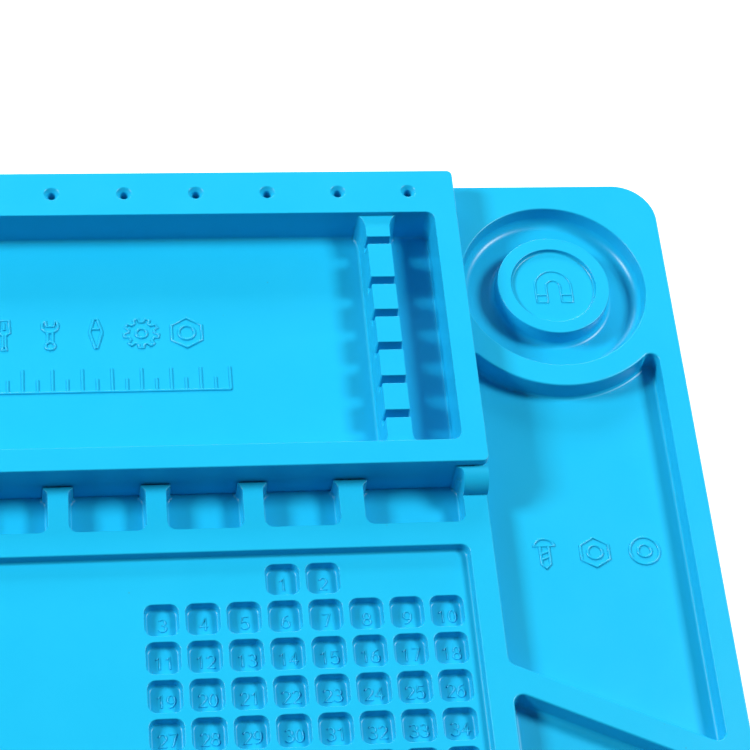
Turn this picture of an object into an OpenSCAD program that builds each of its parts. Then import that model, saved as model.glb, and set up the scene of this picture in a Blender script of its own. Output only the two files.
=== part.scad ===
// Silicone work mat with a lift-out tool and parts tray.
// X runs along the long side to the right, Y towards the back, Z up.
// The origin is the middle of the outline, on the underside.

/* [Mat] */
// Width of the mat along X
mat_w = 450; // [370:5:560]
// Depth of the mat along Y
mat_d = 300; // [250:5:380]
// Radius of the mat's four outer corners
mat_corner_r = 15; // [8:1:22]
// Silicone left under the deep pockets
mat_floor = 3; // [2:0.5:5]
// Depth of the deep pockets below the mat's top
pocket_depth = 8; // [6:0.5:12]
// Width of the ribs between the mat's pockets
rib_w = 8.2; // [6:0.2:11]
// Corner radius of the deep pockets
pocket_r = 3; // [2:0.5:5]

/* [Tool tray] */
// Width of the tray over its flange
tray_w = 258; // [200:1:320]
// Depth of the tray from its front face to the back of its flange
tray_d = 119; // [95:1:150]
// Height of the tray's rim above the mat's top
tray_rise = 10.3; // [8:0.1:14]
// Thickness of the tray's flange
flange_t = 3; // [2:0.2:4]
// Thickness of the tray's floor
tray_floor = 3.4; // [2:0.2:5]
// Width of the rim at the tray's two ends
rim_side = 8.2; // [7:0.2:11]
// Width of the rim along the tray's front
rim_front = 8.5; // [6:0.5:12]
// Width of the rim along the tray's back, which holds the bit holes
rim_back = 18; // [15:0.5:24]
// Radius of the flange's outer corners
flange_r = 2; // [1:0.5:4]

/* [Rails that carry the tray] */
// Width of the rail under the tray's flange
rail_w = 3.5; // [2.5:0.1:4]
// Distance from the edge of the flange in to the rail's outer face
rail_inset = 1.4; // [0:0.1:2]
// Clearance between the tray and the mat
fit_gap = 0.3; // [0.2:0.05:0.6]

/* [Tool rests] */
// Width of each slotted tool rest
rest_w = 8.5; // [6:0.5:12]
// Distance from the tray's end wall to the tool rest
rest_end_gap = 16; // [10:0.5:24]
// Drop from the rim to the top of the tool rest
rest_drop = 2; // [0.5:0.5:4]
// Width of a slot
slot_w = 3; // [2:0.2:4]
// Depth of a slot
slot_depth = 6.5; // [4:0.5:8]
// Distance between slots
slot_pitch = 13.4; // [11:0.1:15]
// Distance from the tray's front inner wall to the first slot
slot_first = 11.5; // [8:0.5:16]
// Extra distance before the last slot
slot_last_extra = 3.5; // [0:0.5:6]
// Least distance from the last slot to the tray's back inner wall
slot_end = 8; // [6:0.5:14]

/* [Bit holes] */
// Least distance from the tray's end to a bit hole
bit_end = 16; // [12:0.5:24]
// Distance between bit holes
bit_pitch = 25; // [18:0.5:26]
// Diameter of a bit hole
bit_d = 2.8; // [2:0.1:4.5]
// Diameter of the countersink at the mouth of a bit hole
bit_sink_d = 5.2; // [5:0.1:7]
// Depth of the countersink
bit_sink_h = 1.2; // [0.5:0.1:2]
// Depth of a bit hole
bit_depth = 12; // [6:0.5:14]
// Distance from the tray's back edge to the bit holes
bit_back = 9; // [8.5:0.1:10]

/* [Small compartments in front of the tray] */
// Depth of the compartments along Y
comp_d = 17; // [12:0.5:24]
// Width of the rib between the compartments and the work area
comp_band = 8.6; // [6:0.2:12]
// Width of the compartment at the right end
comp_end_w = 33.2; // [26:0.2:40]
// Width of a standard compartment
comp_w = 25; // [20:0.5:27]
// Width of the rib between standard compartments
comp_rib = 6.8; // [5:0.2:7.5]

/* [Work area and numbered cells] */
// Depth of the work area below the mat's top
work_depth = 3.5; // [2:0.5:4]
// Side of a numbered cell
cell_w = 11; // [9:0.1:12]
// Distance between cells
cell_pitch = 13.2; // [12.5:0.1:14]
// Depth of a cell below the work area
cell_depth = 3.5; // [2:0.5:4]
// Corner radius of a cell
cell_r = 2.4; // [1:0.1:3]
// Distance from the work area's right wall to the cells
cell_side = 3.7; // [2:0.1:6]
// Distance from the work area's back wall to the first row
cell_back = 3.5; // [2:0.1:6]
// Least distance from the work area's front wall to the cells
cell_front = 22; // [4:1:60]

/* [Right column] */
// Radius of the round dish
dish_r = 33; // [27:0.1:40]
// Distance from the tray's edge, or the right rib, to the dish
dish_edge = 0.4; // [0.4:0.1:3]
// Width of the band between the mat's back edge and the dish
dish_back_band = 9.9; // [7:0.1:14]
// Radius of the hub in the middle of the dish
hub_r = 20; // [18:0.5:24]
// Radius of the shallow cup on the hub
cup_r = 15.2; // [12:0.1:16]
// Depth of the shallow cup on the hub
cup_depth = 1.5; // [0.5:0.1:2]
// Width of the rib round the dish
dish_rib = 8.5; // [6:0.5:11]
// Distance from the mat's back edge to the slanting rib, at the tray's edge line
slant_back = 187.5; // [180:0.5:195]
// Angle of the slanting rib
slant_deg = 25; // [15:1:30]
// Width of the slanting rib
slant_rib = 8.7; // [6:0.1:11]

/* [Magnet under the hub] */
// Radius of the magnet
magnet_r = 15; // [10:0.5:18]
// Thickness of the magnet
magnet_t = 4; // [2:0.5:4]
// Thickness of the plug that closes the magnet's bore
plug_t = 2.5; // [1.5:0.5:3]
// Clearance round the magnet and its plug
magnet_gap = 0.2; // [0.1:0.05:0.4]

/* [Left column] */
// Distance from the mat's back edge to the front of the large left pocket
left_large_front = 119; // [100:1:135]
// Number of small left pockets along X
left_cols = 2; // [1:1:3]
// Number of small left pockets along Y
left_rows = 2; // [1:1:3]

/* [Hidden] */

$fn = 64;
cut = 1;                                    // how far a cut runs past a face
silicone = [0.08, 0.63, 0.90];

mat_h = mat_floor + pocket_depth;
y_back = mat_d / 2;
y_front = -mat_d / 2;
x_left = -mat_w / 2;
x_right = mat_w / 2;

// Tray outline and the bay it drops into
right_col_w = 2 * (dish_r + dish_edge) + rib_w;
tray_x1 = x_right - right_col_w;
tray_x0 = tray_x1 - tray_w;
tray_y0 = y_back - tray_d;
rim_z = mat_h + tray_rise;
flange_z = rim_z - flange_t;
rail_top = flange_z - fit_gap;
body_inset = rail_inset + rail_w + fit_gap; // flange edge to the tray's body
rest_z = rim_z - rest_drop;
tray_in_x0 = tray_x0 + rim_side;
tray_in_x1 = tray_x1 - rim_side;
tray_in_y0 = tray_y0 + rim_front;
tray_in_y1 = y_back - rim_back;
slot_room = tray_in_y1 - tray_in_y0 - slot_first - slot_last_extra - slot_end;
slot_count = floor(slot_room / slot_pitch) + 1;
bit_count = floor((tray_w - 2 * bit_end) / bit_pitch) + 1;

// Compartments and work area
comp_y0 = tray_y0 - comp_d;
work_x0 = tray_x0 + rib_w;
work_x1 = tray_x1 - rib_w;
work_y1 = comp_y0 - comp_band;
work_y0 = y_front + rib_w;
comp_end_rib = comp_rib + 1.5;              // the rib beside an end compartment
comp_room = work_x1 - work_x0 - comp_end_w - 2 * comp_end_rib - comp_w + comp_rib;
comp_count = floor(comp_room / (comp_w + comp_rib));
comp_x1 = work_x1 - comp_end_w - comp_end_rib;
comp_x0 = comp_x1 - comp_count * (comp_w + comp_rib) + comp_rib - comp_end_rib;
cell_x1 = work_x1 - cell_side;
cell_y1 = work_y1 - cell_back;
cell_cols = 8;
cell_rows = floor((cell_y1 - cell_w - cell_front - work_y0) / cell_pitch);

// Right column
dish_x = tray_x1 + dish_edge + dish_r;
dish_y = y_back - dish_back_band - dish_r;
col_x1 = x_right - rib_w;
slant_y = y_back - slant_back;
slant_drop = (col_x1 - tray_x1) * tan(slant_deg);
slant_gap = slant_rib / cos(slant_deg);

// Left column
left_x0 = x_left + rib_w;
left_x1 = tray_x0;
left_y = y_back - left_large_front;

// A rectangle with round corners, from its lowest to its highest corner
module round_rect(x0, y0, x1, y1, r) {
    translate([x0 + r, y0]) square([x1 - x0 - 2 * r, y1 - y0]);
    translate([x0, y0 + r]) square([x1 - x0, y1 - y0 - 2 * r]);
    for (x = [x0 + r, x1 - r], y = [y0 + r, y1 - r]) translate([x, y]) circle(r);
}

module round_block(x0, y0, x1, y1, r, z0, z1)
    translate([0, 0, z0]) linear_extrude(z1 - z0) round_rect(x0, y0, x1, y1, r);

module block(x0, y0, x1, y1, z0, z1)
    translate([x0, y0, z0]) cube([x1 - x0, y1 - y0, z1 - z0]);

// A deep pocket in the mat, open at the top
module pocket(x0, y0, x1, y1)
    round_block(x0, y0, x1, y1, pocket_r, mat_floor, mat_h + cut);

// The rails that stand round three sides of the bay
module rails() {
    out = rail_inset;
    difference() {
        block(tray_x0 + out, tray_y0 - fit_gap, tray_x1 - out, y_back - out, mat_floor, rail_top);
        bay();
    }
}

// The round end of a rail, in front of the tray
module rail_end(x0) {
    r = rail_top - mat_h;
    intersection() {
        translate([x0, tray_y0 - fit_gap, mat_h]) rotate([0, 90, 0]) cylinder(r = r, h = rib_w);
        block(x0, tray_y0 - fit_gap - r, x0 + rib_w, tray_y0 - fit_gap, mat_h - cut, rail_top);
    }
}

// The bay that the tray's body drops into
module bay() {
    in = body_inset - fit_gap;
    block(tray_x0 + in, tray_y0 - fit_gap, tray_x1 - in, y_back - in, mat_floor, rail_top + cut);
}

// The row of small compartments, open to the bay behind them
module compartments() {
    y1 = tray_y0 + pocket_r;
    pocket(work_x1 - comp_end_w, comp_y0, work_x1, y1);
    for (i = [0 : comp_count - 1]) {
        x1 = comp_x1 - i * (comp_w + comp_rib);
        pocket(x1 - comp_w, comp_y0, x1, y1);
    }
    pocket(work_x0, comp_y0, comp_x0, y1);
}

module cell(col, row) {
    x1 = cell_x1 - (cell_cols - 1 - col) * cell_pitch;
    y1 = cell_y1 - row * cell_pitch;
    z = mat_h - work_depth;
    round_block(x1 - cell_w, y1 - cell_w, x1, y1, cell_r, z - cell_depth, z + cut);
}

module work_area() {
    round_block(work_x0, work_y0, work_x1, work_y1, pocket_r, mat_h - work_depth, mat_h + cut);
    for (col = [3, 4]) cell(col, 0);
    for (row = [1 : cell_rows], col = [0 : cell_cols - 1]) cell(col, row);
}

// The round dish, with a hub in the middle and a shallow cup on the hub
module dish() translate([dish_x, dish_y, 0]) {
    difference() {
        translate([0, 0, mat_floor]) cylinder(r = dish_r, h = pocket_depth + cut);
        cylinder(r = hub_r, h = mat_h + 2 * cut);
    }
    translate([0, 0, mat_h - cup_depth]) cylinder(r = cup_r, h = cup_depth + cut);
}

// The bore under the hub, for the magnet and its plug
module magnet_bore() translate([dish_x, dish_y, -cut])
    cylinder(r = magnet_r + magnet_gap, h = plug_t + magnet_t + cut);

// The parts pocket between the dish and the slanting rib, and the pocket in front of the rib
module right_pockets() {
    corner_y = dish_y - 0.6 * dish_r;       // above where the round rib meets the column's sides
    translate([0, 0, mat_floor]) linear_extrude(pocket_depth + cut) {
        difference() {
            polygon([[tray_x1, corner_y], [col_x1, corner_y], [col_x1, slant_y - slant_drop],
                     [tray_x1, slant_y]]);
            translate([dish_x, dish_y]) circle(dish_r + dish_rib);
        }
        polygon([[tray_x1, slant_y - slant_gap], [col_x1, slant_y - slant_gap - slant_drop],
                 [col_x1, y_front + rib_w], [tray_x1, y_front + rib_w]]);
    }
}

module left_pockets() {
    pocket(left_x0, left_y, left_x1, y_back - rib_w);
    w = (left_x1 - left_x0 - (left_cols - 1) * rib_w) / left_cols;
    d = (left_y - rib_w - y_front - rib_w - (left_rows - 1) * rib_w) / left_rows;
    for (i = [0 : left_cols - 1], j = [0 : left_rows - 1]) {
        x0 = left_x0 + i * (w + rib_w);
        y0 = y_front + rib_w + j * (d + rib_w);
        pocket(x0, y0, x0 + w, y0 + d);
    }
}

module base_mat() color(silicone) difference() {
    union() {
        round_block(x_left, y_front, x_right, y_back, mat_corner_r, 0, mat_h);
        rails();
        rail_end(tray_x0);
        rail_end(tray_x1 - rib_w);
    }
    bay();
    compartments();
    work_area();
    dish();
    right_pockets();
    left_pockets();
    magnet_bore();
}

// A slotted tool rest that runs the whole depth of the tray
module tool_rest(x0) difference() {
    block(x0, tray_in_y0 - cut, x0 + rest_w, tray_in_y1 + cut, mat_floor + tray_floor - cut, rest_z);
    for (i = [0 : slot_count - 1]) {
        y = tray_in_y0 + slot_first + i * slot_pitch + (i == slot_count - 1 ? slot_last_extra : 0);
        block(x0 - cut, y - slot_w / 2, x0 + rest_w + cut, y + slot_w / 2, rest_z - slot_depth, rest_z + cut);
    }
}

module bit_hole(i) {
    x = (tray_x0 + tray_x1) / 2 + (i - (bit_count - 1) / 2) * bit_pitch;
    translate([x, y_back - bit_back, 0]) {
        translate([0, 0, rim_z - bit_depth]) cylinder(d = bit_d, h = bit_depth + cut);
        translate([0, 0, rim_z - bit_sink_h]) cylinder(d1 = bit_d, d2 = bit_sink_d, h = bit_sink_h);
    }
}

module tool_tray() color(silicone) difference() {
    union() {
        block(tray_x0 + body_inset, tray_y0, tray_x1 - body_inset, y_back - body_inset,
              mat_floor, flange_z + cut);
        round_block(tray_x0, tray_y0, tray_x1, y_back, flange_r, flange_z, rim_z);
    }
    difference() {
        round_block(tray_in_x0, tray_in_y0, tray_in_x1, tray_in_y1, pocket_r,
                    mat_floor + tray_floor, rim_z + cut);
        tool_rest(tray_in_x0 + rest_end_gap);
        tool_rest(tray_in_x1 - rest_end_gap - rest_w);
    }
    for (i = [0 : bit_count - 1]) bit_hole(i);
}

module magnet() color([0.30, 0.30, 0.32])
    translate([dish_x, dish_y, plug_t]) cylinder(r = magnet_r, h = magnet_t);

module magnet_plug() color(silicone)
    translate([dish_x, dish_y, 0]) cylinder(r = magnet_r, h = plug_t);

base_mat();
tool_tray();
magnet();
magnet_plug();
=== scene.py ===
"""Silicone work mat with a lift-out tool tray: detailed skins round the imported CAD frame.

Lengths are in millimetres until a mesh is made. A skin is built from outlines (closed loops of
points with outward normals) that are lofted along profiles: small rounds at the top edges, a
little draft on the walls and fillets at the floors, as a moulded silicone part has them.
"""

import math

import bpy
from mathutils import Matrix, Vector
from mathutils.geometry import delaunay_2d_cdt


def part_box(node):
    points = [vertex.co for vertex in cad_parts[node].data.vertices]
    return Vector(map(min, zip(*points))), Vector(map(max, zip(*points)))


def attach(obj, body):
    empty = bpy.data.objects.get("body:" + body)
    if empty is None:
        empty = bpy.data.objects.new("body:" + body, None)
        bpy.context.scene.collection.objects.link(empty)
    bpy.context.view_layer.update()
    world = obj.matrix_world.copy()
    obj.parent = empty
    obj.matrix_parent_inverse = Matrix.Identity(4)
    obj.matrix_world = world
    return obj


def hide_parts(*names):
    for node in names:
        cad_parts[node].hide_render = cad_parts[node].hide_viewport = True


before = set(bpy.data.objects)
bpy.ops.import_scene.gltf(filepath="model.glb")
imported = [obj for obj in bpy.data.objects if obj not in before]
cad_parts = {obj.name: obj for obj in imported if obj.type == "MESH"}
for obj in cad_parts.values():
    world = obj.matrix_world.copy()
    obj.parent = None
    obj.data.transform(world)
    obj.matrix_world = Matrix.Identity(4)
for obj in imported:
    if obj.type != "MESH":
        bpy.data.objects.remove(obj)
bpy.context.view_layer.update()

MM = 0.001

# ---------------------------------------------------------------- sizes

# The boxes come from the CAD frame. The other sizes repeat those that the CAD was made with,
# which the frame doesn't hold.

mat_lo, mat_hi = [[c / MM for c in corner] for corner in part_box("base_mat")]
tray_lo, tray_hi = [[c / MM for c in corner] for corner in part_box("tool_tray")]
magnet_lo, magnet_hi = [[c / MM for c in corner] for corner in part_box("magnet")]
plug_lo, plug_hi = [[c / MM for c in corner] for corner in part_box("magnet_plug")]

# the mat
MAT_FLOOR = tray_lo[2]              # the tray stands on the floor of its bay
POCKET_DEPTH = 8.0
MAT_TOP = MAT_FLOOR + POCKET_DEPTH
RIB = 8.2                           # between pockets, and round the mat's edge
MAT_CORNER = 15.0
POCKET_CORNER = 3.0
ROUND = 0.4                         # at the outer edges of the mat, the rails and the flange

# the tray and the rails under its flange
TRAY_X0, TRAY_X1 = tray_lo[0], tray_hi[0]
TRAY_Y0, TRAY_Y1 = tray_lo[1], tray_hi[1]
RIM_TOP = tray_hi[2]
FLANGE = 3.0
FLANGE_CORNER = 2.0
FLANGE_UNDER = RIM_TOP - FLANGE
RAIL_TOP = mat_hi[2]
RAIL_INSET = 1.4                    # from the flange's edge to the rail
RAIL_W = 3.5
FIT_GAP = 0.3                       # between the rails and the tray's body
BODY_INSET = RAIL_INSET + RAIL_W + FIT_GAP
BODY_FRONT = 0.02                   # the body's front, just behind the flange's
BODY_CORNER = 1.0
BODY_ROUND = 0.6                    # at the body's lower edge
TRAY_FLOOR = MAT_FLOOR + 3.4
RIM_SIDE, RIM_FRONT, RIM_BACK = 8.2, 8.5, 18.0
IN_X0, IN_X1 = TRAY_X0 + RIM_SIDE, TRAY_X1 - RIM_SIDE
IN_Y0, IN_Y1 = TRAY_Y0 + RIM_FRONT, TRAY_Y1 - RIM_BACK

# the tool rests and their slots
REST_W = 8.5
REST_GAP = 16.0                     # from the tray's wall to the rest
REST_TOP = RIM_TOP - 2.0
SLOT_W = 3.0
SLOT_DEPTH = 6.5
SLOT_PITCH = 13.4
SLOT_FIRST = 11.5                   # from the front wall to the middle of the first slot
SLOT_LAST_EXTRA = 3.5               # the last slot is this much further back
SLOT_COUNT = 6

# the bit holes in the back rim
BIT_COUNT = 10
BIT_PITCH = 25.0
BIT_BACK = 9.0                      # from the flange's back edge
BIT_R = 1.4
BIT_DEPTH = 12.0
BIT_SINK_R = 2.6                    # the countersink
BIT_SINK_H = 1.2

# the compartments that open into the bay: five alike, and a wide one at each end
COMP_DEPTH = 17.0
COMP_BAND = 8.6                     # between them and the work area
COMP_END_W = 33.2
COMP_W = 25.0
COMP_RIB = 6.8
COMP_COUNT = 5
COMP_END_RIB = COMP_RIB + 1.5
COMP_Y0 = TRAY_Y0 - COMP_DEPTH

# the work area and its numbered cells
WORK_X0, WORK_X1 = TRAY_X0 + RIB, TRAY_X1 - RIB
WORK_Y0, WORK_Y1 = mat_lo[1] + RIB, COMP_Y0 - COMP_BAND
WORK_FLOOR = MAT_TOP - 3.5
CELL = 11.0
CELL_PITCH = 13.2
CELL_CORNER = 2.8                   # 2.4 in the CAD; the photo's cells look rounder than that
CELL_DEPTH = 3.5
CELL_COLS, CELL_ROWS = 8, 8
CELL_TOP_ROW = (3, 4)               # the columns of the two cells above the full rows
CELL_FLOOR = WORK_FLOOR - CELL_DEPTH
CELL_X1, CELL_Y1 = WORK_X1 - 3.7, WORK_Y1 - 3.5

# the right column: the dish over the magnet, the parts pocket and the front pocket
DISH_X, DISH_Y = [(magnet_lo[i] + magnet_hi[i]) / 2 for i in (0, 1)]
DISH_R = 33.0
DISH_RIB = 8.5
HUB_R = 20.0
CUP_R = 15.2
CUP_DEPTH = 1.5
PLUG_R = (plug_hi[0] - plug_lo[0]) / 2
BORE_GAP = 0.2
COL_X1 = mat_hi[0] - RIB
SLANT_ANGLE = math.radians(25)
SLANT_Y = mat_hi[1] - 187.5
SLANT_DROP = (COL_X1 - TRAY_X1) * math.tan(SLANT_ANGLE)
SLANT_GAP = 8.7 / math.cos(SLANT_ANGLE)

# the left column
LEFT_X0, LEFT_X1 = mat_lo[0] + RIB, TRAY_X0
LEFT_Y = mat_hi[1] - 119.0

# edge round, draft and floor fillet of each hollow and block
DISH_SHAPE = dict(edge=0.5, draft=0.6, fillet=3.6)
HUB_SHAPE = dict(edge=0.35, draft=0.0, fillet=2.2)
CUP_SHAPE = dict(edge=0.25, draft=0.25, fillet=0.7)
PARTS_SHAPE = dict(edge=0.6, draft=0.3, fillet=1.3)
POCKET_SHAPE = dict(edge=0.6, draft=0.3, fillet=2.0)
BAY_SHAPE = dict(edge=0.3, draft=0.2, fillet=1.0)
WORK_SHAPE = dict(edge=0.5, draft=0.3, fillet=1.0)
CELL_SHAPE = dict(edge=0.3, draft=0.25, fillet=0.9)
TRAY_SHAPE = dict(edge=0.3, draft=0.5, fillet=1.1)

# ---------------------------------------------------------------- outlines


def arc(cx, cy, r, start, end, outward=1):
    """Points of an arc with unit normals. outward is 1 for a convex stretch and -1 for a concave one."""
    steps = max(3, math.ceil(abs(end - start) / 90 * (5 + r * 0.9)))
    points = []
    for i in range(steps + 1):
        a = math.radians(start + (end - start) * i / steps)
        c, s = math.cos(a), math.sin(a)
        points.append((cx + r * c, cy + r * s, outward * c, outward * s))
    return points


def circle(cx, cy, r, steps=96):
    points = []
    for i in range(steps):
        a = 2 * math.pi * i / steps
        points.append((cx + r * math.cos(a), cy + r * math.sin(a), math.cos(a), math.sin(a)))
    return points


def rounded_rect(x0, y0, x1, y1, r):
    return (arc(x1 - r, y1 - r, r, 0, 90) + arc(x0 + r, y1 - r, r, 90, 180)
            + arc(x0 + r, y0 + r, r, 180, 270) + arc(x1 - r, y0 + r, r, 270, 360))


def rounded_polygon(corners, radii):
    """A counter-clockwise polygon with convex corners, each rounded to its own radius."""
    loop = []
    count = len(corners)
    for i, r in enumerate(radii):
        before, here, after = (Vector(corners[(i + k) % count]) for k in (-1, 0, 1))
        u, v = (here - before).normalized(), (after - here).normalized()
        start = math.degrees(math.atan2(-u.x, u.y))
        turn = math.degrees(math.atan2(u.x * v.y - u.y * v.x, u.dot(v)))
        reach = r * math.tan(math.radians(turn) / 2)
        tangent = here - u * reach
        centre = tangent + Vector((-u.y, u.x)) * r
        loop += arc(centre.x, centre.y, r, start, start + turn)
    return loop


# ---------------------------------------------------------------- profiles

# A profile is a list of steps: offset along the outline's normal, height, and the two parts of the
# surface's normal there, outward and up.


def quarter(steps=4):
    """The angles of a quarter turn."""
    return [math.pi / 2 * i / steps for i in range(steps + 1)]


def low_round(z, r):
    """From a flat underside at z round to an upright wall."""
    return [(-r + r * math.sin(a), z + r - r * math.cos(a), math.sin(a), -math.cos(a)) for a in quarter()]


def high_round(z, r):
    """From an upright wall round to a flat top at z."""
    return [(-r + r * math.cos(a), z - r + r * math.sin(a), math.cos(a), math.sin(a)) for a in quarter()]


def pocket_profile(top, floor, edge, draft, fillet):
    """From the flat round a pocket, over its edge and down its wall to its floor."""
    profile = [(edge - edge * math.sin(a), top - edge + edge * math.cos(a), -math.sin(a), math.cos(a))
               for a in quarter()]
    profile += [(-draft - fillet + fillet * math.cos(a), floor + fillet - fillet * math.sin(a),
                 -math.cos(a), math.sin(a)) for a in quarter(6)]
    return profile


def raised_profile(base, top, edge, draft, fillet):
    """From the flat round a raised block, up its wall and over its edge to its top."""
    profile = [(fillet - fillet * math.sin(a), base + fillet - fillet * math.cos(a),
                math.sin(a), math.cos(a)) for a in quarter(5)]
    profile += [(-draft - edge + edge * math.cos(a), top - edge + edge * math.sin(a),
                 math.cos(a), math.sin(a)) for a in quarter()]
    return profile


# ---------------------------------------------------------------- skins


class Skin:
    """A surface with a chosen normal at every vertex."""

    def __init__(self):
        self.points, self.normals, self.faces = [], [], []

    def vertex(self, x, y, z, normal):
        self.points.append(Vector((x, y, z)))
        self.normals.append(Vector(normal))
        return len(self.points) - 1

    def ring(self, loop, offset, z, out, up):
        size = math.hypot(out, up)
        return [self.vertex(x + nx * offset, y + ny * offset, z,
                            (nx * out / size, ny * out / size, up / size)) for x, y, nx, ny in loop]

    def face(self, ids):
        """Adds a face, turned to agree with its vertices' normals."""
        corner = [self.points[i] for i in ids]
        normal = Vector()
        for i, p in enumerate(corner):
            normal += p.cross(corner[(i + 1) % len(corner)])
        wanted = sum((self.normals[i] for i in ids), Vector())
        self.faces.append(list(ids) if normal.dot(wanted) >= 0 else list(reversed(ids)))

    def loft(self, loop, profile):
        """Joins the profile's rings. Returns the first and the last ring."""
        rings = [self.ring(loop, *step) for step in profile]
        count = len(loop)
        for low, high in zip(rings, rings[1:]):
            for i in range(count):
                j = (i + 1) % count
                self.face([low[i], low[j], high[j], high[i]])
        return rings[0], rings[-1]

    def flat(self, outer, holes=()):
        """Fills the plane between an outer ring and its holes."""
        ids = list(outer) + [i for hole in holes for i in hole]
        flat_points = [self.points[i].xy for i in ids]
        loops, start = [], 0
        for ring in [outer, *holes]:
            loops.append(list(range(start, start + len(ring))))
            start += len(ring)
        _, _, faces, sources, _, inside = delaunay_2d_cdt(flat_points, [], loops, 1, 1e-5)
        for face, owners in zip(faces, inside):
            if list(owners) == [0]:
                self.face([ids[sources[i][0]] for i in face])

    def flat_again(self, ring, up):
        """A copy of a ring with its normals straight up or down, for a crisp edge."""
        return [self.vertex(*self.points[i], (0, 0, up)) for i in ring]

    def block(self, loop, profile):
        """A closed solid: a loft with a flat top and bottom."""
        low, high = self.loft(loop, profile)
        self.flat(high)
        self.flat(self.flat_again(low, -1))

    def pocket(self, loop, top, floor, **shape):
        """A pocket with a plain floor. Returns its mouth, to cut from the flat round it."""
        mouth, foot = self.loft(loop, pocket_profile(top, floor, **shape))
        self.flat(foot)
        return mouth

    def mesh(self, name):
        mesh = bpy.data.meshes.new(name)
        mesh.from_pydata([p * MM for p in self.points], [], self.faces)
        mesh.shade_smooth()
        mesh.normals_split_custom_set_from_vertices(self.normals)
        mesh.update()
        return mesh


def add_piece(name, mesh, body):
    """A silicone piece that rides on a body."""
    obj = bpy.data.objects.new(name, mesh)
    bpy.context.scene.collection.objects.link(obj)
    mesh.materials.clear()
    mesh.materials.append(SILICONE)
    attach(obj, body)
    return obj


# ---------------------------------------------------------------- materials


class Nodes:
    """A short way to write a node tree."""

    def __init__(self, name):
        self.material = bpy.data.materials.new(name)
        self.material.use_nodes = True
        self.tree = self.material.node_tree
        self.tree.nodes.clear()

    def add(self, kind, **settings):
        node = self.tree.nodes.new("ShaderNode" + kind)
        for key, value in settings.items():
            if hasattr(node, key):
                setattr(node, key, value)
            else:
                node.inputs[key.replace("_", " ")].default_value = value
        return node

    def link(self, source, output, target, socket):
        self.tree.links.new(source.outputs[output], target.inputs[socket])


def silicone_material(colour, dark):
    """Satin moulded silicone: a faint mottle, a fine grain, specks of dust and slight depth."""
    n = Nodes("silicone")
    where = n.add("TexCoord")
    mottle = n.add("TexNoise", Scale=38.0, Detail=4.0, Roughness=0.6)
    grain = n.add("TexNoise", Scale=2600.0, Detail=3.0, Roughness=0.65)
    waves = n.add("TexNoise", Scale=70.0, Detail=2.0, Roughness=0.5)
    for texture in (mottle, grain, waves):
        n.link(where, "Object", texture, "Vector")
    tint = n.add("Mix", data_type="RGBA")
    tint.inputs["A"].default_value = (*dark, 1)
    tint.inputs["B"].default_value = (*colour, 1)
    n.link(mottle, "Fac", tint, "Factor")
    dust = n.add("TexVoronoi", Scale=75.0, Randomness=1.0)
    n.link(where, "Object", dust, "Vector")
    speck = n.add("MapRange", From_Min=0.012, From_Max=0.030, To_Min=0.35, To_Max=0.0)
    n.link(dust, "Distance", speck, "Value")
    dusty = n.add("Mix", data_type="RGBA")
    dusty.inputs["B"].default_value = (0.05, 0.20, 0.30, 1)
    n.link(speck, "Result", dusty, "Factor")
    n.link(tint, "Result", dusty, "A")
    gloss = n.add("MapRange", To_Min=0.26, To_Max=0.34)
    n.link(mottle, "Fac", gloss, "Value")
    fine = n.add("Bump", Strength=0.12, Distance=0.00008)
    n.link(grain, "Fac", fine, "Height")
    soft = n.add("Bump", Strength=0.10, Distance=0.0006)
    n.link(waves, "Fac", soft, "Height")
    n.link(fine, "Normal", soft, "Normal")
    shader = n.add("BsdfPrincipled")
    shader.subsurface_method = "RANDOM_WALK"
    shader.inputs["Subsurface Weight"].default_value = 0.05
    shader.inputs["Subsurface Radius"].default_value = (0.2, 0.7, 1.0)
    shader.inputs["Subsurface Scale"].default_value = 0.0012
    shader.inputs["Specular IOR Level"].default_value = 0.40
    shader.inputs["IOR"].default_value = 1.42
    n.link(dusty, "Result", shader, "Base Color")
    n.link(gloss, "Result", shader, "Roughness")
    n.link(soft, "Normal", shader, "Normal")
    out = n.add("OutputMaterial")
    n.link(shader, "BSDF", out, "Surface")
    return n.material


def ferrite_material():
    """Sintered ferrite: dark grey, dull and grainy."""
    n = Nodes("ferrite")
    where = n.add("TexCoord")
    grain = n.add("TexNoise", Scale=900.0, Detail=6.0, Roughness=0.7)
    n.link(where, "Object", grain, "Vector")
    tint = n.add("Mix", data_type="RGBA")
    tint.inputs["A"].default_value = (0.025, 0.025, 0.028, 1)
    tint.inputs["B"].default_value = (0.075, 0.075, 0.08, 1)
    n.link(grain, "Fac", tint, "Factor")
    bump = n.add("Bump", Strength=0.5, Distance=0.0001)
    n.link(grain, "Fac", bump, "Height")
    shader = n.add("BsdfPrincipled", Metallic=0.3, Roughness=0.6)
    n.link(tint, "Result", shader, "Base Color")
    n.link(bump, "Normal", shader, "Normal")
    out = n.add("OutputMaterial")
    n.link(shader, "BSDF", out, "Surface")
    return n.material


SILICONE = silicone_material(colour=(0.010, 0.455, 0.745), dark=(0.008, 0.43, 0.72))
FERRITE = ferrite_material()

# ---------------------------------------------------------------- the mat


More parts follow.
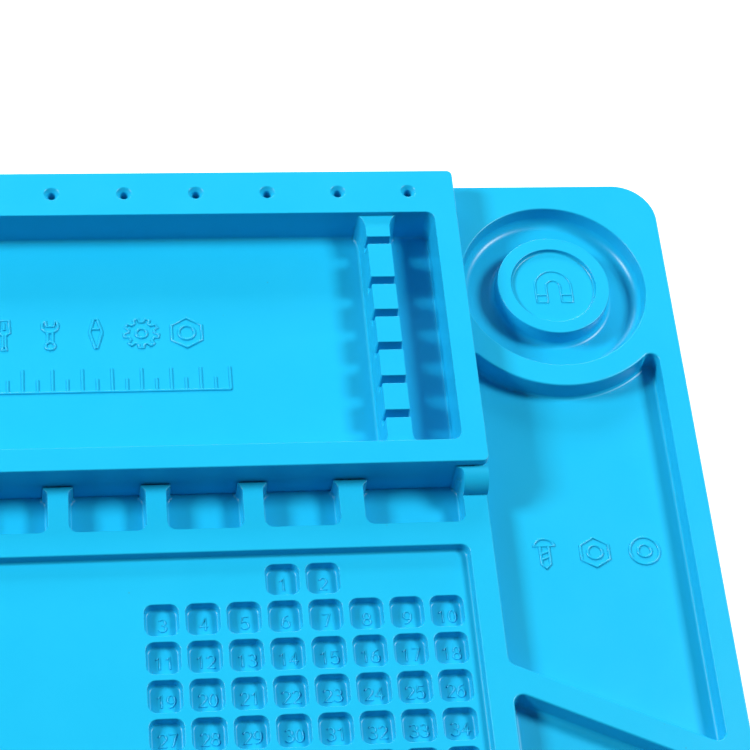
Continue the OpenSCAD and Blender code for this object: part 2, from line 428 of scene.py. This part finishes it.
def bay_and_compartments():
    """One outline round the tray's bay and the compartments that open into it.

    The bay's own walls lie inside the rails, so only the compartments and the flared ends of
    their ribs show.
    """
    hide = 1.0                      # how far the bay's walls lie inside the rails
    front = TRAY_Y0 - FIT_GAP
    side = BODY_INSET - FIT_GAP - hide
    r = POCKET_CORNER
    loop = arc(TRAY_X1 - side - r, TRAY_Y1 - side - r, r, 0, 90)
    loop += arc(TRAY_X0 + side + r, TRAY_Y1 - side - r, r, 90, 180)
    loop += arc(TRAY_X0 + side + r, front + r, r, 180, 270)
    for x0, x1 in sorted(comp_spans()):
        loop += flare_arcs(x0, front, left=True)
        loop += arc(x0 + r, COMP_Y0 + r, r, 180, 270)
        loop += arc(x1 - r, COMP_Y0 + r, r, 270, 360)
        loop += flare_arcs(x1, front, left=False)
    return loop + arc(TRAY_X1 - side - r, front + r, r, 270, 360)


def flare_arcs(x, front, left):
    """A rib's flared end beside the bay: a small round tip and the flare, in drawing order."""
    flare, tip, rise = 3.0, 0.4, 2.85
    tip_y = front - tip
    cy = tip_y - rise
    across = math.sqrt((flare + tip) ** 2 - rise ** 2)
    angle = math.degrees(math.atan2(rise, across))
    if left:
        cx = x + flare
        small = arc(cx - across, tip_y, tip, 90, -angle, -1)
        return small + arc(cx, cy, flare, 180 - angle, 180, 1)
    cx = x - flare
    return arc(cx, cy, flare, 0, angle, 1) + arc(cx + across, tip_y, tip, 180 + angle, 90, -1)


def comp_spans():
    """The left and right wall of each compartment."""
    spans = [(WORK_X1 - COMP_END_W, WORK_X1)]
    x1 = WORK_X1 - COMP_END_W - COMP_END_RIB
    for _ in range(COMP_COUNT):
        spans.append((x1 - COMP_W, x1))
        x1 -= COMP_W + COMP_RIB
    spans.append((WORK_X0, x1 + COMP_RIB - COMP_END_RIB))
    return spans


def cell_corners():
    """The lower left corner of each numbered cell, in the order of the numbers."""
    cells = [(col, 0) for col in CELL_TOP_ROW]
    cells += [(col, row) for row in range(1, CELL_ROWS + 1) for col in range(CELL_COLS)]
    return [(CELL_X1 - (CELL_COLS - 1 - col) * CELL_PITCH - CELL, CELL_Y1 - row * CELL_PITCH - CELL)
            for col, row in cells]


def parts_pocket_outline():
    """The pocket in front of the dish: round rib above, slanting rib below."""
    rib_r = DISH_R + DISH_RIB
    left_r, right_r, low_r = 1.8, 2.8, 3.0
    loop = []
    left_x, right_x = TRAY_X1 + left_r, COL_X1 - right_r
    left_y = DISH_Y - math.sqrt((rib_r + left_r) ** 2 - (DISH_X - left_x) ** 2)
    right_y = DISH_Y - math.sqrt((rib_r + right_r) ** 2 - (right_x - DISH_X) ** 2)
    to_left = math.degrees(math.atan2(left_y - DISH_Y, left_x - DISH_X))
    to_right = math.degrees(math.atan2(right_y - DISH_Y, right_x - DISH_X))
    loop += arc(right_x, right_y, right_r, 0, to_right + 180)
    loop += arc(DISH_X, DISH_Y, rib_r, to_right, to_left, -1)
    loop += arc(left_x, left_y, left_r, to_left + 180, 180)
    lower = rounded_polygon([(TRAY_X1, DISH_Y), (TRAY_X1, SLANT_Y), (COL_X1, SLANT_Y - SLANT_DROP),
                             (COL_X1, DISH_Y)], [1, low_r, low_r, 1])
    middle = (DISH_Y + SLANT_Y) / 2
    return loop + [p for p in lower if p[1] < middle]


RAIL_SUNK = 0.5                     # the rails start this far under the pockets' floor
FOOT_AT_SIDE, FOOT_BESIDE_DISH, FOOT_AT_BACK = 3.0, 1.6, 0.9


def rail_outline():
    """The rails round three sides of the bay, as one U-shaped outline, with a foot radius per point.

    The foot's fillet is small beside the dish and wide behind it, and it stops short of the mat's
    back edge. The inner side has none.
    """
    r = 1.0
    ox0, ox1, oy = TRAY_X0 + RAIL_INSET, TRAY_X1 - RAIL_INSET, TRAY_Y1 - RAIL_INSET
    ix0, ix1, iy = ox0 + RAIL_W, ox1 - RAIL_W, oy - RAIL_W
    y0 = TRAY_Y0 - FIT_GAP - 0.1
    dish_end = DISH_Y + DISH_R - 6
    levels = [y0, dish_end, dish_end + 8, dish_end + 10]
    outer = [(ox1, y, 1, 0) for y in levels]
    outer += arc(ox1 - r, oy - r, r, 0, 90) + arc(ox0 + r, oy - r, r, 90, 180)
    outer += [(ox0, y, -1, 0) for y in reversed(levels)]
    inner = [(ix0, y0, 1, 0)] + arc(ix0 + r, iy - r, r, 180, 90, -1)
    inner += arc(ix1 - r, iy - r, r, 90, 0, -1) + [(ix1, y0, -1, 0)]
    edge_room = 0.5
    foot = []
    for _, y, nx, ny in outer:
        side = FOOT_BESIDE_DISH if y <= dish_end + 1 else FOOT_AT_SIDE
        room = (mat_hi[1] - edge_room - y) / ny if ny > 0.01 else side
        foot.append(min(side * abs(nx) + FOOT_AT_BACK * (1 - abs(nx)), room))
    return outer + inner, foot + [0.0] * len(inner)


def rail_profile(r):
    """A rail's steps where its foot has the radius r. Without a foot it goes down to the floor."""
    if r:
        foot = [(r - r * math.sin(a), MAT_TOP + r - r * math.cos(a), math.sin(a), math.cos(a))
                for a in quarter(5)]
    else:
        foot = [(0, MAT_FLOOR, 1, 0) for a in quarter(5)]
    return [(r, MAT_FLOOR - RAIL_SUNK, 1, 0)] + foot + high_round(RAIL_TOP, ROUND)


def add_rails(skin):
    """The U-shaped rail: fillets at its outer foot, and an inner face down to the bay's floor."""
    loop, foot = rail_outline()
    rings = []
    for steps in zip(*[rail_profile(r) for r in foot]):
        rings.append([skin.vertex(x + nx * offset, y + ny * offset, z, (nx * out, ny * out, up))
                      for (x, y, nx, ny), (offset, z, out, up) in zip(loop, steps)])
    count = len(loop)
    for low, high in zip(rings, rings[1:]):
        for i in range(count):
            j = (i + 1) % count
            tall = max((skin.points[low[k]] - skin.points[high[k]]).length for k in (i, j))
            if tall > 1e-6:
                skin.face([low[i], low[j], high[j], high[i]])
    skin.flat(rings[-1])
    skin.flat(skin.flat_again(rings[0], -1))


def add_rail_end(skin, inner, outer):
    """The round end of a rail in front of the tray, flared where it meets the tray's wall.

    inner and outer are the x of its side towards the compartments and of its side by the dish or
    the left column.
    """
    towards = 1 if inner > outer else -1
    radius = RAIL_TOP - MAT_TOP
    back = TRAY_Y0 - FIT_GAP
    front = back - radius
    low = MAT_FLOOR - RAIL_SUNK
    flare = 2.6
    rows = []
    for a in quarter(14):
        y, z = back - radius * math.cos(a), MAT_TOP + radius * math.sin(a)
        past = max(0.0, y - (back - flare))
        widen = flare - math.sqrt(max(flare * flare - past * past, 0.0))
        slope = past / math.sqrt(max(flare * flare - past * past, 1e-3))
        inward = Vector((towards, -slope, 0)).normalized()
        rows.append((y, z, inner + towards * widen, inward, (0, -math.cos(a), math.sin(a))))
    tops = [[skin.vertex(x, y, z, normal) for x in (edge_x, outer)] for y, z, edge_x, _, normal in rows]
    for a, b in zip(tops, tops[1:]):
        skin.face([a[0], a[1], b[1], b[0]])
    inner_side = [(y, z, x, normal) for y, z, x, normal, _ in rows]
    outer_side = [(y, z, outer, (-towards, 0, 0)) for y, z, _, _, _ in rows]
    for side in (inner_side, outer_side):
        ids = [[skin.vertex(x, y, height, normal) for height in (z, low)] for y, z, x, normal in side]
        for a, b in zip(ids, ids[1:]):
            skin.face([a[1], b[1], b[0], a[0]])
    for row, facing in ((rows[0], -1), (rows[-1], 1)):
        y, z, x = row[:3]
        skin.face([skin.vertex(px, y, height, (0, facing, 0))
                   for px, height in ((x, low), (outer, low), (outer, z), (x, z))])
    skin.face([skin.vertex(x, y, low, (0, 0, -1))
               for x, y in ((inner, front), (outer, front), (outer, back), (rows[-1][2], back))])


def left_pockets():
    """One large pocket at the back and four small ones, as corner values for rounded_rect."""
    pockets = [(LEFT_X0, LEFT_Y, LEFT_X1, mat_hi[1] - RIB)]
    wide = (LEFT_X1 - LEFT_X0 - RIB) / 2
    deep = (LEFT_Y - RIB - mat_lo[1] - RIB - RIB) / 2
    for i in range(2):
        for j in range(2):
            x0, y0 = LEFT_X0 + i * (wide + RIB), mat_lo[1] + RIB + j * (deep + RIB)
            pockets.append((x0, y0, x0 + wide, y0 + deep))
    return pockets


def build_mat():
    skin = Skin()
    outer = rounded_rect(mat_lo[0], mat_lo[1], mat_hi[0], mat_hi[1], MAT_CORNER)
    under, top = skin.loft(outer, low_round(0.0, ROUND) + high_round(MAT_TOP, ROUND))

    # the magnet's bore, with a small bevel at its mouth, just short of the magnet's top
    bevel = 0.2
    bore = circle(DISH_X, DISH_Y, PLUG_R + BORE_GAP)
    bore_mouth, bore_end = skin.loft(bore, [(bevel, 0.0, 0, -1), (0.0, bevel, -1, 0),
                                            (0.0, magnet_hi[2] - 0.01, -1, 0)])
    skin.flat(skin.flat_again(bore_end, -1))
    skin.flat(under, [bore_mouth])

    # the round dish with its hub and cup
    dish = circle(DISH_X, DISH_Y, DISH_R, 128)
    mouth, dish_foot = skin.loft(dish, pocket_profile(MAT_TOP, MAT_FLOOR, **DISH_SHAPE))
    mouths = [mouth]
    hub = circle(DISH_X, DISH_Y, HUB_R, 112)
    hub_foot, hub_top = skin.loft(hub, raised_profile(MAT_FLOOR, MAT_TOP, **HUB_SHAPE))
    skin.flat(dish_foot, [hub_foot])
    cup = skin.pocket(circle(DISH_X, DISH_Y, CUP_R), MAT_TOP, MAT_TOP - CUP_DEPTH, **CUP_SHAPE)
    skin.flat(hub_top, [cup])

    # the other deep hollows: the right and the left column, the bay with the compartments
    front_y = mat_lo[1] + RIB
    front_pocket = rounded_polygon(
        [(TRAY_X1, front_y), (COL_X1, front_y), (COL_X1, SLANT_Y - SLANT_GAP - SLANT_DROP),
         (TRAY_X1, SLANT_Y - SLANT_GAP)], [POCKET_CORNER] * 4)
    hollows = [(parts_pocket_outline(), PARTS_SHAPE), (front_pocket, POCKET_SHAPE)]
    hollows += [(rounded_rect(*corners, POCKET_CORNER), POCKET_SHAPE) for corners in left_pockets()]
    hollows.append((bay_and_compartments(), BAY_SHAPE))
    for outline, shape in hollows:
        mouths.append(skin.pocket(outline, MAT_TOP, MAT_FLOOR, **shape))

    # the work area and its cells
    work = rounded_rect(WORK_X0, WORK_Y0, WORK_X1, WORK_Y1, POCKET_CORNER)
    mouth, work_foot = skin.loft(work, pocket_profile(MAT_TOP, WORK_FLOOR, **WORK_SHAPE))
    mouths.append(mouth)
    cells = []
    for x0, y0 in cell_corners():
        cell = rounded_rect(x0, y0, x0 + CELL, y0 + CELL, CELL_CORNER)
        cells.append(skin.pocket(cell, WORK_FLOOR, CELL_FLOOR, **CELL_SHAPE))
    skin.flat(work_foot, cells)
    skin.flat(top, mouths)

    add_rails(skin)
    past_rib = 0.05
    add_rail_end(skin, TRAY_X1 - RIB - past_rib, TRAY_X1)
    add_rail_end(skin, TRAY_X0 + RIB + past_rib, TRAY_X0)
    obj = add_piece("silicone_mat", skin.mesh("silicone_mat"), "mat")
    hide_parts("base_mat")


# ---------------------------------------------------------------- the tray


REST_SUNK = 0.8                     # the tool rests reach this far into the tray's walls


def flare_curve(x, y, wide, long, side, end):
    """A tool rest's side as it swings out into the tray's wall: most of a quarter of an ellipse."""
    points = []
    steps, turn = 12, 84
    for i in range(steps + 1):
        t = math.radians(turn * i / steps)
        out = Vector((side * math.cos(t) / wide, -end * math.sin(t) / long)).normalized()
        points.append((x + side * wide * (1 - math.cos(t)), y - end * long * (1 - math.sin(t)),
                       out.x, out.y))
    return points


def tooth_outline(x0, x1, y0, y1, flare_front, flare_back):
    """The outline of one block of a tool rest. Its end by a wall flares into that wall."""
    r = 0.5
    if flare_back:
        wide, long = 3.0, 6.2
        right = flare_curve(x1, y1, wide, long, 1, 1)
        left = flare_curve(x0, y1, wide, long, -1, 1)
        end = [(x1 + wide, y1 + REST_SUNK, 0, 1), (x0 - wide, y1 + REST_SUNK, 0, 1)]
        back = right + end + left[::-1]
    else:
        back = arc(x1 - r, y1 - r, r, 0, 90) + arc(x0 + r, y1 - r, r, 90, 180)
    if flare_front:
        wide, long = 2.0, 4.0
        left = flare_curve(x0, y0, wide, long, -1, -1)
        right = flare_curve(x1, y0, wide, long, 1, -1)
        end = [(x0 - wide, y0 - REST_SUNK, 0, -1), (x1 + wide, y0 - REST_SUNK, 0, -1)]
        front = left + end + right[::-1]
    else:
        front = arc(x0 + r, y0 + r, r, 180, 270) + arc(x1 - r, y0 + r, r, 270, 360)
    return back + front


def add_tool_rest(skin, x0):
    """A row of blocks on a bar, with slots between them.

    The outlines have the size at the top, so the profiles are moved out by the draft. The bar's is
    a hair narrower than the blocks', which keeps their walls out of one plane.
    """
    x1 = x0 + REST_W
    centres = [IN_Y0 + SLOT_FIRST + i * SLOT_PITCH for i in range(SLOT_COUNT)]
    centres[-1] += SLOT_LAST_EXTRA
    stops = [IN_Y0] + [c + s * SLOT_W / 2 for c in centres for s in (-1, 1)] + [IN_Y1]
    edge, draft, fillet, hair = 0.25, 0.9, 1.4, 0.03
    for k in range(0, len(stops), 2):
        first, last = k == 0, k == len(stops) - 2
        profile = [(draft + offset, z, out, up) for offset, z, out, up in
                   raised_profile(TRAY_FLOOR, REST_TOP, edge, draft, fillet)]
        skin.block(tooth_outline(x0, x1, stops[k], stops[k + 1], first, last), profile)
    bar_top = REST_TOP - SLOT_DEPTH
    lean = draft * (REST_TOP - bar_top) / (REST_TOP - TRAY_FLOOR)
    profile = [(draft + offset - hair, z, out, up) for offset, z, out, up in
               raised_profile(TRAY_FLOOR, bar_top, edge, draft - lean, fillet)]
    skin.block(rounded_rect(x0, IN_Y0 - REST_SUNK, x1, IN_Y1 + REST_SUNK, 0.4), profile)


def add_bit_hole(skin, x):
    """A blind hole with a soft countersink. Returns its mouth."""
    cone = BIT_SINK_R - BIT_R
    sink_z = RIM_TOP - BIT_SINK_H
    profile = [(0.3, RIM_TOP, 0, 1), (0.1, RIM_TOP - 0.06, -0.5, 0.9),
               (-0.1, RIM_TOP - 0.25, -0.75, 0.66), (-cone + 0.15, sink_z, -0.8, 0.6),
               (-cone, sink_z - 0.3, -1, 0), (-cone, RIM_TOP - BIT_DEPTH, -1, 0)]
    mouth, end = skin.loft(circle(x, TRAY_Y1 - BIT_BACK, BIT_SINK_R, 40), profile)
    skin.flat(skin.flat_again(end, 1))
    return mouth


def build_tray():
    skin = Skin()
    flange = rounded_rect(TRAY_X0, TRAY_Y0, TRAY_X1, TRAY_Y1, FLANGE_CORNER)
    flange_low, rim = skin.loft(flange, [(0.0, FLANGE_UNDER, 1, 0)] + high_round(RIM_TOP, ROUND))

    inner = rounded_rect(IN_X0, IN_Y0, IN_X1, IN_Y1, POCKET_CORNER)
    mouths = [skin.pocket(inner, RIM_TOP, TRAY_FLOOR, **TRAY_SHAPE)]
    middle = (TRAY_X0 + TRAY_X1) / 2
    for i in range(BIT_COUNT):
        mouths.append(add_bit_hole(skin, middle + (i - (BIT_COUNT - 1) / 2) * BIT_PITCH))
    skin.flat(rim, mouths)

    body = rounded_rect(TRAY_X0 + BODY_INSET, TRAY_Y0 + BODY_FRONT, TRAY_X1 - BODY_INSET,
                        TRAY_Y1 - BODY_INSET, BODY_CORNER)
    low, high = skin.loft(body, low_round(MAT_FLOOR, BODY_ROUND) + [(0.0, FLANGE_UNDER, 1, 0)])
    skin.flat(low)
    skin.flat(skin.flat_again(flange_low, -1), [skin.flat_again(high, -1)])
    add_tool_rest(skin, IN_X0 + REST_GAP)
    add_tool_rest(skin, IN_X1 - REST_GAP - REST_W)
    obj = add_piece("silicone_tray", skin.mesh("silicone_tray"), "tray")
    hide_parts("tool_tray")


# ---------------------------------------------------------------- raised marks


def bow(cx, cy, rx, ry, start, end, steps):
    """Points along part of an ellipse."""
    points = []
    for i in range(steps + 1):
        a = math.radians(start + (end - start) * i / steps)
        points.append((cx + rx * math.cos(a), cy + ry * math.sin(a)))
    return points


DIGIT_MIDDLE, DIGIT_ADVANCE = 0.3, 0.77
DIGITS = {                          # strokes in a box 0.6 wide and 1 high
    "0": [bow(0.3, 0.5, 0.27, 0.5, 0, 360, 18)],
    "1": [[(0.1, 0.78), (0.34, 1.0), (0.34, 0.0)]],
    "2": [bow(0.3, 0.72, 0.27, 0.28, 165, -35, 9) + [(0.04, 0.0), (0.58, 0.0)]],
    "3": [bow(0.28, 0.75, 0.25, 0.25, 150, -90, 9) + bow(0.28, 0.26, 0.29, 0.26, 88, -155, 10)],
    "4": [[(0.44, 0.0), (0.44, 1.0), (0.02, 0.3), (0.6, 0.3)]],
    "5": [[(0.54, 1.0), (0.14, 1.0), (0.08, 0.52)] + bow(0.29, 0.32, 0.28, 0.32, 125, -150, 11)],
    "6": [bow(0.3, 0.32, 0.27, 0.32, 0, 360, 14), bow(0.56, 0.42, 0.53, 0.58, 178, 100, 7)],
    "7": [[(0.04, 1.0), (0.58, 1.0), (0.22, 0.0)]],
    "8": [bow(0.3, 0.75, 0.23, 0.25, 0, 360, 14), bow(0.3, 0.26, 0.28, 0.26, 0, 360, 14)],
    "9": [bow(0.3, 0.68, 0.27, 0.32, 0, 360, 14), bow(0.04, 0.58, 0.53, 0.58, -2, -80, 7)],
}


class Marks:
    """Raised lines on a floor: round ridges, about half sunk in it."""

    def __init__(self, name, width):
        self.curve = bpy.data.curves.new(name, "CURVE")
        self.curve.dimensions = "3D"
        self.curve.bevel_depth = width / 2 * MM
        self.curve.bevel_resolution = 2
        self.curve.use_fill_caps = True
        self.name = name

    def line(self, points, z):
        closed = len(points) > 3 and math.dist(points[0], points[-1]) < 1e-6
        if closed:
            points = points[:-1]
        spline = self.curve.splines.new("POLY")
        spline.points.add(len(points) - 1)
        for point, (x, y) in zip(spline.points, points):
            point.co = (x * MM, y * MM, z * MM, 1)
        spline.use_cyclic_u = closed

    def number(self, text, cx, cy, height, z):
        advance = DIGIT_ADVANCE * height
        x = cx - (len(text) - 1) * advance / 2 - DIGIT_MIDDLE * height
        for character in text:
            for stroke in DIGITS[character]:
                self.line([(x + u * height, cy + (v - 0.5) * height) for u, v in stroke], z)
            x += advance

    def picture(self, strokes, cx, cy, size, z):
        for stroke in strokes:
            self.line([(cx + u * size, cy + v * size) for u, v in stroke], z)

    def finish(self, body):
        """Turns the lines into a mesh that rides on the body."""
        temporary = bpy.data.objects.new(self.name, self.curve)
        bpy.context.scene.collection.objects.link(temporary)
        bpy.context.view_layer.update()
        evaluated = temporary.evaluated_get(bpy.context.evaluated_depsgraph_get())
        mesh = bpy.data.meshes.new_from_object(evaluated)
        bpy.data.objects.remove(temporary)
        mesh.name = self.name
        mesh.shade_smooth()
        add_piece(self.name, mesh, body)


def add_cell_numbers():
    marks = Marks("cell_numbers", 0.56)
    height, right, down = 4.3, 0.3, 0.4         # the numbers sit a little off the cells' middles
    for number, (x0, y0) in enumerate(cell_corners(), start=1):
        marks.number(str(number), x0 + CELL / 2 + right, y0 + CELL / 2 - down, height, CELL_FLOOR + 0.1)
    marks.finish("mat")


def hexagon(r):
    return bow(0, 0, r, r, 30, 390, 6)


def gear(inner, outer, teeth):
    loop = []
    for i in range(teeth):
        for radius, step in ((inner, 0.0), (inner, 0.42), (outer, 0.52), (outer, 0.90)):
            a = 2 * math.pi * (i + step) / teeth
            loop.append((radius * math.cos(a), radius * math.sin(a)))
    return loop + loop[:1]


def icons():
    """Plain tool and hardware shapes, as strokes about the middle of a box 1 high."""
    return {
        "screwdriver": [[(-0.13, 0.48), (0.13, 0.48), (0.15, 0.08), (0.05, 0.0), (-0.05, 0.0), (-0.15, 0.08),
                         (-0.13, 0.48)], [(-0.035, 0.0), (-0.035, -0.34), (-0.07, -0.48), (0.07, -0.48),
                                          (0.035, -0.34), (0.035, 0.0)], [(0, 0.40), (0, 0.16)]],
        "spanner": [bow(0, 0.28, 0.22, 0.22, 125, 410, 14) + [(0.10, 0.26), (-0.10, 0.26), (-0.126, 0.46)],
                    [(-0.07, 0.07), (-0.07, -0.30)], [(0.07, 0.07), (0.07, -0.30)],
                    bow(0, -0.36, 0.13, 0.13, 0, 360, 12)],
        "tweezers": [[(-0.05, 0.48), (0.05, 0.48)], [(-0.05, 0.48), (-0.17, 0.05), (-0.02, -0.48)],
                     [(0.05, 0.48), (0.17, 0.05), (0.02, -0.48)], [(-0.10, 0.16), (0.10, 0.16)]],
        "nut": [hexagon(0.48), bow(0, 0, 0.22, 0.22, 0, 360, 18)],
        "washer": [bow(0, 0, 0.44, 0.44, 0, 360, 24), bow(0, 0, 0.20, 0.20, 0, 360, 16)],
        "gear": [gear(0.36, 0.48, 9), bow(0, 0, 0.15, 0.15, 0, 360, 14)],
        "screw": [bow(0, 0.24, 0.30, 0.24, 0, 180, 12) + [(0.30, 0.24)],
                  [(-0.13, 0.24), (-0.13, -0.34), (0, -0.48), (0.13, -0.34), (0.13, 0.24)],
                  [(-0.13, -0.02), (0.13, 0.08)], [(-0.13, -0.20), (0.13, -0.10)]],
        "spring": [[(-0.3, 0.44), (0.3, 0.44), (-0.3, 0.24), (0.3, 0.24), (-0.3, 0.04), (0.3, 0.04),
                    (-0.3, -0.16), (0.3, -0.16), (-0.3, -0.36), (0.3, -0.36)]],
        "magnet": [bow(0, 0.02, 0.46, 0.46, 0, 180, 16) + [(-0.46, -0.46), (-0.18, -0.46)]
                   + bow(0, 0.02, 0.18, 0.18, 180, 0, 10) + [(0.18, -0.46), (0.46, -0.46), (0.46, 0.02)],
                   [(-0.46, -0.24), (-0.18, -0.24)], [(0.18, -0.24), (0.46, -0.24)]],
    }


def add_icons():
    """Raised pictograms: they say what goes where without any words."""
    shapes = icons()
    lift = 0.02                     # a ridge's middle over the floor
    tray_marks = Marks("tray_pictograms", 1.0)
    middle = (IN_X0 + IN_X1) / 2 + 1.5
    row = ["screwdriver", "spanner", "tweezers", "gear", "nut"]
    pitch, size = 15.5, 12.5
    for i, name in enumerate(row):
        x = middle + (i - (len(row) - 1) / 2) * pitch
        tray_marks.picture(shapes[name], x, IN_Y1 - 39.4, size, TRAY_FLOOR + lift)
    scale_y, scale_step, scale_steps = IN_Y1 - 62.5, 5, 18
    scale_x0 = middle - scale_step * scale_steps / 2
    scale_x1 = scale_x0 + scale_step * scale_steps
    tray_marks.line([(scale_x0, scale_y), (scale_x1, scale_y)], TRAY_FLOOR + lift)
    for i in range(scale_steps + 1):
        tall = 9.0 if i % 2 == 0 else 5.0
        x = scale_x0 + i * scale_step
        tray_marks.line([(x, scale_y), (x, scale_y + tall)], TRAY_FLOOR + lift)
    tray_marks.finish("tray")

    mat_marks = Marks("mat_pictograms", 0.95)
    column = (TRAY_X1 + COL_X1) / 2
    pitch, size = 17.0, 11.5
    for i, name in enumerate(["screw", "nut", "washer"]):
        x = column + 2 + (i - 1) * pitch
        mat_marks.picture(shapes[name], x, SLANT_Y + 42.5, size, MAT_FLOOR + lift)
    mat_marks.picture(shapes["spring"], column - 5, mat_lo[1] + 62, 11, MAT_FLOOR + lift)
    mat_marks.finish("mat")

    cup_marks = Marks("magnet_pictogram", 0.7)
    cup_marks.picture(shapes["magnet"], DISH_X, DISH_Y, 14, MAT_TOP - CUP_DEPTH + lift)
    cup_marks.finish("mat")


build_mat()
build_tray()
add_cell_numbers()
add_icons()

# ---------------------------------------------------------------- the CAD nodes that stay

for node_name, node_material in (("magnet", FERRITE), ("magnet_plug", SILICONE)):
    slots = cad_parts[node_name].data.materials
    slots.clear()
    slots.append(node_material)

# ---------------------------------------------------------------- floor, light and camera, in metres

FLOOR_LEVEL = -0.2 * MM             # a little low, so that it isn't in one plane with the underside


def add_floor():
    mesh = bpy.data.meshes.new("floor")
    reach, level = 6.0, FLOOR_LEVEL
    mesh.from_pydata([(-reach, -reach, level), (reach, -reach, level), (reach, reach, level),
                      (-reach, reach, level)], [], [(0, 1, 2, 3)])
    floor = bpy.data.objects.new("floor", mesh)
    bpy.context.scene.collection.objects.link(floor)
    n = Nodes("floor_paint")
    shader = n.add("BsdfPrincipled", Roughness=0.8)
    shader.inputs["Base Color"].default_value = (0.92, 0.92, 0.92, 1)
    shader.inputs["Emission Color"].default_value = (1, 1, 1, 1)
    shader.inputs["Emission Strength"].default_value = 0.45
    out = n.add("OutputMaterial")
    n.link(shader, "BSDF", out, "Surface")
    mesh.materials.append(n.material)


def add_area(name, place, aim, size, power):
    """A soft white light, size in metres and power in watts."""
    light = bpy.data.lights.new(name, "AREA")
    light.shape = "RECTANGLE"
    light.size, light.size_y = size
    light.energy = power
    lamp = bpy.data.objects.new(name, light)
    bpy.context.scene.collection.objects.link(lamp)
    lamp.location = place
    lamp.rotation_mode = "QUATERNION"
    lamp.rotation_quaternion = (Vector(aim) - Vector(place)).to_track_quat("-Z", "Y")


def add_lights():
    aim = (0.08, 0.03, 0.0)
    add_area("left_softbox", (-1.32, 0.28, 1.11), aim, (0.50, 0.42), 31.0)
    add_area("right_softbox", (1.24, 0.24, 1.36), aim, (0.50, 0.42), 25.0)
    add_area("back_softbox", (0.0, 1.60, 0.72), aim, (1.5, 0.4), 15.0)
    world = bpy.data.worlds.new("studio")
    world.use_nodes = True
    sky = world.node_tree.nodes["Background"]
    sky.inputs["Color"].default_value = (0.95, 0.97, 1.0, 1)
    sky.inputs["Strength"].default_value = 0.06
    bpy.context.scene.world = world
    # the default transform turns a saturated cyan grey
    bpy.context.scene.view_settings.view_transform = "Standard"


CAMERA_AIM = Vector((0.1183, 0.0780, 0.0))
CAMERA_TURN = math.radians(15.06)       # from +Y towards +X
CAMERA_TILT = math.radians(57.48)       # below the horizon
CAMERA_ROLL = math.radians(-11.66)
CAMERA_DISTANCE = 0.8268
CAMERA_LENS = 114.5                     # mm, on a sensor 36 mm wide


def add_camera():
    data = bpy.data.cameras.new("camera")
    data.lens = CAMERA_LENS
    data.sensor_width = 36.0
    data.clip_start, data.clip_end = 0.01, 50.0
    camera = bpy.data.objects.new("camera", data)
    bpy.context.scene.collection.objects.link(camera)
    ahead = Vector((math.cos(CAMERA_TILT) * math.sin(CAMERA_TURN),
                    math.cos(CAMERA_TILT) * math.cos(CAMERA_TURN), -math.sin(CAMERA_TILT)))
    level = Vector((math.cos(CAMERA_TURN), -math.sin(CAMERA_TURN), 0))
    down = ahead.cross(level)
    right = math.cos(CAMERA_ROLL) * level + math.sin(CAMERA_ROLL) * down
    up = math.sin(CAMERA_ROLL) * level - math.cos(CAMERA_ROLL) * down
    turn = Matrix((right, up, -ahead)).transposed().to_4x4()
    camera.matrix_world = Matrix.Translation(CAMERA_AIM - ahead * CAMERA_DISTANCE) @ turn
    bpy.context.scene.camera = camera


add_floor()
add_lights()
add_camera()
